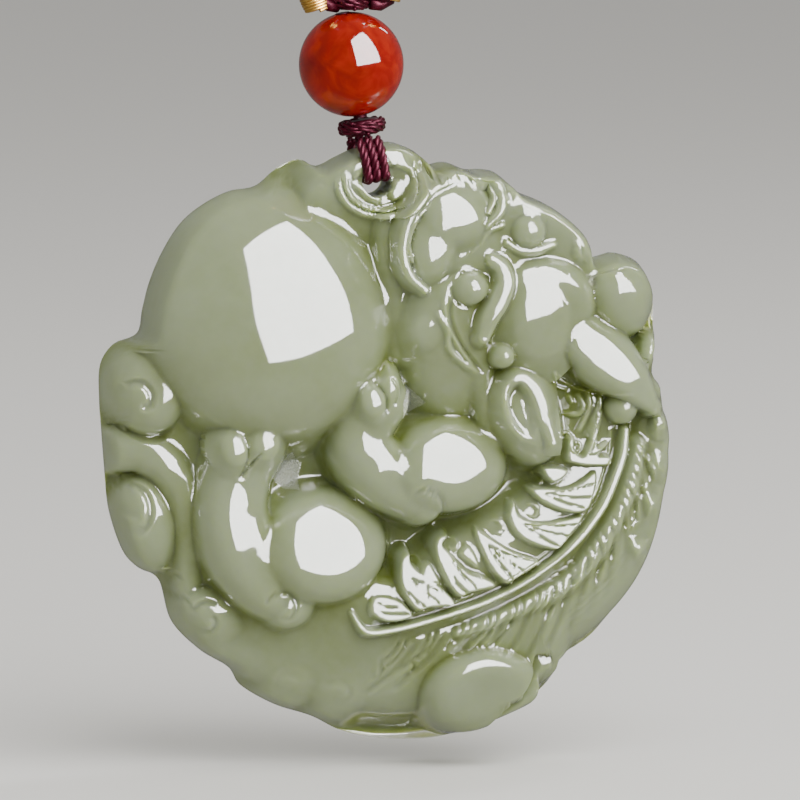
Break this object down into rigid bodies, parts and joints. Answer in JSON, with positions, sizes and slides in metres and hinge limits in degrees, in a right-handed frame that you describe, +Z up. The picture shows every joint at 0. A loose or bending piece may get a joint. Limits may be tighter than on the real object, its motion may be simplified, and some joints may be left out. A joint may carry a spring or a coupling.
{
  "type": "jade pixiu pendant necklace",
  "caption": "Round pale green jade pendant carved as a curled winged animal with a ball and a coin, hung from a red agate bead on a dark red cord neck loop.",
  "frame": {"origin": "the inside top of the neck loop, where it lies on the back of a neck or hangs on a peg", "axes": "+Z up, the carved face looks along -Y and +X is to the right as one looks at the face"},
  "size_m": [0.124, 0.016, 0.321],
  "materials": {
    "jade": "polished, slightly translucent",
    "red_agate": "polished, slightly translucent",
    "dark_red_cord": "twisted silky thread",
    "gold_thread": "wound metallic thread"
  },
  "bodies": {
    "cord": {"neck_cord": "dark_red_cord", "gold_wrap_left": "gold_thread", "gold_wrap_right": "gold_thread", "upper_knot": "dark_red_cord", "agate_bead": "red_agate", "bead_thread": "dark_red_cord", "lower_knot": "dark_red_cord", "bail_cord": "dark_red_cord"},
    "pendant": {"jade_pixiu": "jade"}
  },
  "joints": [
    {"name": "pendant_swing", "type": "hinge", "parent": "cord", "child": "pendant", "pos_m": [0.00175, 0, -0.2699], "axis": [0, 1, 0], "range_deg": [-15, 15]}
  ]
}
